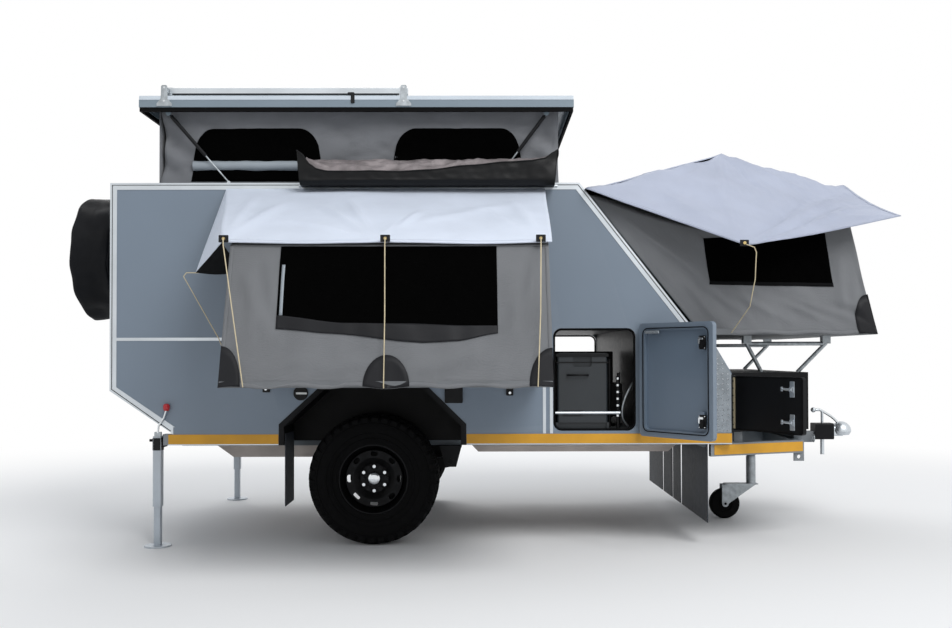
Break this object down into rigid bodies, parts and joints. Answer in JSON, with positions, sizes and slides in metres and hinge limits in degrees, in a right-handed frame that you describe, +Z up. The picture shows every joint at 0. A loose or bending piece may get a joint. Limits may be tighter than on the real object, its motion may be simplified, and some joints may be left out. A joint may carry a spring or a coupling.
{
  "type": "folding camper trailer",
  "caption": "Off-road camper trailer with a pop-top roof, fold-out beds under tents at the side and front, kitchen hatch, drawbar box, rear legs and jockey wheel.",
  "frame": {"origin": "centre of the hitch ball inside the coupling", "axes": "+X forward to the towing car, +Y to the left, +Z up"},
  "size_m": [5.07, 3.5629, 2.715],
  "materials": {
    "bag_vinyl": "satin",
    "black_plastic": "matt",
    "black_powder": "satin",
    "black_rubber": "matt",
    "black_steel": "satin",
    "body_paint": "semi-gloss",
    "canvas": "matt",
    "chassis_grey": "satin",
    "cover_vinyl": "satin",
    "fly_cloth": "matt",
    "galvanised": "dull",
    "grey_rubber": "matt",
    "mattress_cloth": "matt",
    "ply": "matt",
    "rod_chrome": "bright",
    "roof_paint": "semi-gloss",
    "tray_plastic": "satin",
    "tread_plate": "bright",
    "trim_aluminium": "satin",
    "tyre": "matt",
    "white_plastic": "gloss",
    "zinc": "satin"
  },
  "bodies": {
    "trailer": {"awning_bag": "bag_vinyl", "bed_support": "galvanised", "chassis_brackets": "chassis_grey", "chassis_frame": "chassis_grey", "coil_springs": "black_steel", "coupling_block": "black_steel", "coupling_head": "zinc", "drawbar": "chassis_grey", "edge_trims": "trim_aluminium", "floor_panel": "ply", "fridge": "black_plastic", "front_fly": "fly_cloth", "front_tent": "canvas", "hinges": "trim_aluminium", "kitchen_liner": "black_plastic", "nose_box": "black_powder", "nose_panel": "tread_plate", "rear_wall": "body_paint", "roof_rim": "body_paint", "roof_skirt": "canvas", "rubber_flaps": "black_rubber", "side_fly": "fly_cloth", "side_tent": "canvas", "side_wall_left": "body_paint", "side_wall_right": "body_paint", "spare_bracket": "black_steel", "spare_cover": "cover_vinyl", "suspension_arm_left": "black_steel", "suspension_arm_right": "black_steel", "under_trays": "tray_plastic", "wall_fittings": "black_plastic", "wheel_arch_left": "black_powder", "wheel_arch_right": "black_powder"},
    "wheel_left_body": {"tyre_left": "tyre", "rim_left": "black_steel", "hub_left": "zinc"},
    "wheel_right_body": {"tyre_right": "tyre", "rim_right": "black_steel", "hub_right": "zinc"},
    "jockey_leg_body": {"jockey_leg": "galvanised"},
    "jockey_wheel_body": {"jockey_wheel": "grey_rubber"},
    "rear_leg_left_body": {"rear_leg_left": "galvanised"},
    "rear_leg_right_body": {"rear_leg_right": "galvanised"},
    "roof_body": {"roof_panel": "roof_paint", "roof_seal": "black_rubber", "roof_rack": "trim_aluminium", "vent_lid": "white_plastic"},
    "strut_cylinders_rear_body": {"strut_cylinder_rear": "black_steel"},
    "strut_rods_rear_body": {"strut_rod_rear": "rod_chrome"},
    "strut_cylinders_front_body": {"strut_cylinder_front": "black_steel"},
    "strut_rods_front_body": {"strut_rod_front": "rod_chrome"},
    "side_bed_body": {"side_bed": "body_paint", "side_mattress": "mattress_cloth"},
    "front_bed_body": {"front_bed": "body_paint", "front_mattress": "mattress_cloth"},
    "hatch_door_left_body": {"hatch_door_left": "body_paint"},
    "hatch_door_right_body": {"hatch_door_right": "body_paint"},
    "nose_door_left_body": {"nose_door_left": "black_powder"},
    "nose_door_right_body": {"nose_door_right": "black_powder"},
    "entrance_door_body": {"entrance_door": "body_paint"}
  },
  "joints": [
    {"name": "wheel_spin_left", "type": "hinge", "parent": "trailer", "child": "wheel_left_body", "pos_m": [-3.12, 0.8275, -0.208], "axis": [0, 1, 0], "continuous": true},
    {"name": "wheel_spin_right", "type": "hinge", "parent": "trailer", "child": "wheel_right_body", "pos_m": [-3.12, -0.8275, -0.208], "axis": [0, 1, 0], "continuous": true},
    {"name": "jockey_swivel", "type": "hinge", "parent": "trailer", "child": "jockey_leg_body", "pos_m": [-0.625, 0, -0.195], "axis": [0, 0, 1], "continuous": true},
    {"name": "jockey_spin", "type": "hinge", "parent": "jockey_leg_body", "child": "jockey_wheel_body", "pos_m": [-0.81, 0, -0.493], "axis": [0, 1, 0], "continuous": true},
    {"name": "rear_leg_left_swing", "type": "hinge", "parent": "trailer", "child": "rear_leg_left_body", "pos_m": [-4.388, 0.93, 0.027], "axis": [1, 0, 0], "range_deg": [-90, 0]},
    {"name": "rear_leg_right_swing", "type": "hinge", "parent": "trailer", "child": "rear_leg_right_body", "pos_m": [-4.388, -0.93, 0.027], "axis": [1, 0, 0], "range_deg": [0, 90]},
    {"name": "roof_lift", "type": "slide", "parent": "trailer", "child": "roof_body", "axis": [0, 0, 1], "range_m": [-0.415, 0], "deforming": ["roof_skirt"]},
    {"name": "strut_rear_swing", "type": "hinge", "parent": "roof_body", "child": "strut_cylinders_rear_body", "pos_m": [-4.334, 0, 1.965], "axis": [0, 1, 0], "range_deg": [-49.34, 0]},
    {"name": "strut_rear_stroke", "type": "slide", "parent": "strut_cylinders_rear_body", "child": "strut_rods_rear_body", "axis": [0.656, 0, -0.7547], "range_m": [-0.18841, 0]},
    {"name": "strut_front_swing", "type": "hinge", "parent": "roof_body", "child": "strut_cylinders_front_body", "pos_m": [-2.09, 0, 1.965], "axis": [0, 1, 0], "range_deg": [0, 53.49]},
    {"name": "strut_front_stroke", "type": "slide", "parent": "strut_cylinders_front_body", "child": "strut_rods_front_body", "axis": [-0.6003, 0, -0.7998], "range_m": [-0.20659, 0]},
    {"name": "side_bed_fold", "type": "hinge", "parent": "trailer", "child": "side_bed_body", "pos_m": [-2.9305, -0.981, 0.374], "axis": [1, 0, 0], "range_deg": [-90, 0], "deforming": ["side_tent", "side_fly"]},
    {"name": "front_bed_fold", "type": "hinge", "parent": "trailer", "child": "front_bed_body", "pos_m": [-1.22464, 0, 0.68], "axis": [0, 1, 0], "range_deg": [-127.86, 0], "deforming": ["front_tent", "front_fly"]},
    {"name": "hatch_door_right_swing", "type": "hinge", "parent": "trailer", "child": "hatch_door_right_body", "pos_m": [-1.541, -1.013, 0.405], "axis": [0, 0, -1], "range_deg": [0, 127.6]},
    {"name": "hatch_door_left_swing", "type": "hinge", "parent": "trailer", "child": "hatch_door_left_body", "pos_m": [-1.541, 1.013, 0.405], "axis": [0, 0, 1], "range_deg": [0, 127.6]},
    {"name": "nose_door_right_swing", "type": "hinge", "parent": "trailer", "child": "nose_door_right_body", "pos_m": [-0.96777, -0.87379, 0.255], "axis": [0, 0, 1], "range_deg": [0, 81]},
    {"name": "nose_door_left_swing", "type": "hinge", "parent": "trailer", "child": "nose_door_left_body", "pos_m": [-0.96777, 0.87379, 0.255], "axis": [0, 0, -1], "range_deg": [0, 81]},
    {"name": "entrance_door_swing", "type": "hinge", "parent": "trailer", "child": "entrance_door_body", "pos_m": [-3.697, 0.983, 0.805], "axis": [0, 0, -1], "range_deg": [0, 95]}
  ],
  "couplings": [
    {"joint": "strut_rear_swing", "follows": "roof_lift", "rad_per_m": 2.0742},
    {"joint": "strut_rear_stroke", "follows": "roof_lift", "ratio": 0.45353},
    {"joint": "strut_front_swing", "follows": "roof_lift", "rad_per_m": -2.2491},
    {"joint": "strut_front_stroke", "follows": "roof_lift", "ratio": 0.49733}
  ]
}
